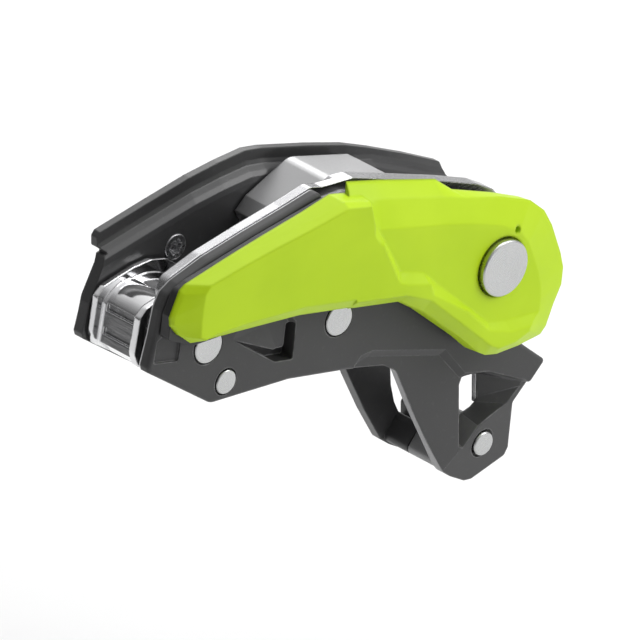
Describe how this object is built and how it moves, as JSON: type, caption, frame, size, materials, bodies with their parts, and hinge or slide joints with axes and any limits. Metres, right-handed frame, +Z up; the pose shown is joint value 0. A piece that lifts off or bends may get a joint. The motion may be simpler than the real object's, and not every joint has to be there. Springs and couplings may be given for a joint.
{
  "type": "assisted-braking belay device",
  "caption": "Cam-assisted belay device worn on the harness: two side plates round a rope channel, steel friction block, pivoting cam, hinged release handle and swing-open plate.",
  "frame": {"origin": "centre of the harness pin, on the bar that the belay loop hangs from, midway across the rope channel", "axes": "+X from the nose towards the hub, +Y across the rope channel from the handle side to the swing plate, +Z up from the bar to the handle"},
  "size_m": [0.108, 0.0329, 0.0849],
  "materials": {
    "lime_plastic": "satin moulded lime green plastic",
    "dark_anodised": "matt dark grey anodised forged aluminium with bright rubbed edges",
    "black_anodised": "satin black anodised aluminium",
    "black_lever": "matt black coated die-cast lever",
    "polished_steel": "polished stainless steel",
    "liner_steel": "brushed stainless sheet",
    "cam_steel": "bead-blasted stainless steel",
    "rivet_steel": "satin steel rivet",
    "axle_steel": "turned steel",
    "nut_steel": "turned steel",
    "screw_steel": "zinc-plated screw",
    "spring_steel": "bright drawn wire",
    "bronze": "sintered bronze bearing",
    "washer_polymer": "black bearing polymer",
    "lock_plastic": "black moulded plastic"
  },
  "bodies": {
    "frame": {"fixed_side_plate": "dark_anodised", "inner_wear_plate": "liner_steel", "friction_block": "polished_steel", "block_rivet_upper": "rivet_steel", "block_rivet_lower": "rivet_steel", "cam_stop_pin": "rivet_steel", "main_axle": "axle_steel", "axle_nut": "nut_steel", "harness_pin": "rivet_steel", "handle_washer": "washer_polymer", "cam_washers": "washer_polymer", "handle_spring": "spring_steel", "cam_spring": "spring_steel"},
    "handle": {"handle_cover": "lime_plastic", "handle_lever": "black_lever", "handle_bush": "bronze", "handle_screws": "screw_steel", "release_dog": "axle_steel"},
    "cam_arm": {"cam": "cam_steel", "cam_bush": "bronze"},
    "swing_plate": {"swing_side_plate": "black_anodised", "swing_bush": "bronze", "mode_screw": "screw_steel"},
    "lock": {"lock_slider": "lock_plastic", "lock_detent_ball": "spring_steel"}
  },
  "joints": [
    {"name": "handle_hinge", "type": "hinge", "parent": "frame", "child": "handle", "pos_m": [-0.004, 0, 0.046], "axis": [0, 1, 0], "range_deg": [0, 130], "stiffness_Nm_per_rad": 0.02, "springref_deg": -114.59},
    {"name": "cam_hinge", "type": "hinge", "parent": "frame", "child": "cam_arm", "pos_m": [-0.004, 0, 0.046], "axis": [0, 1, 0], "range_deg": [-14, 0], "stiffness_Nm_per_rad": 0.05, "springref_deg": 57.3},
    {"name": "swing_hinge", "type": "hinge", "parent": "frame", "child": "swing_plate", "pos_m": [-0.004, 0, 0.046], "axis": [0, 1, 0], "range_deg": [0, 84]},
    {"name": "lock_slide", "type": "slide", "parent": "swing_plate", "child": "lock", "axis": [0, 0, -1], "range_m": [0, 0.0062]}
  ]
}
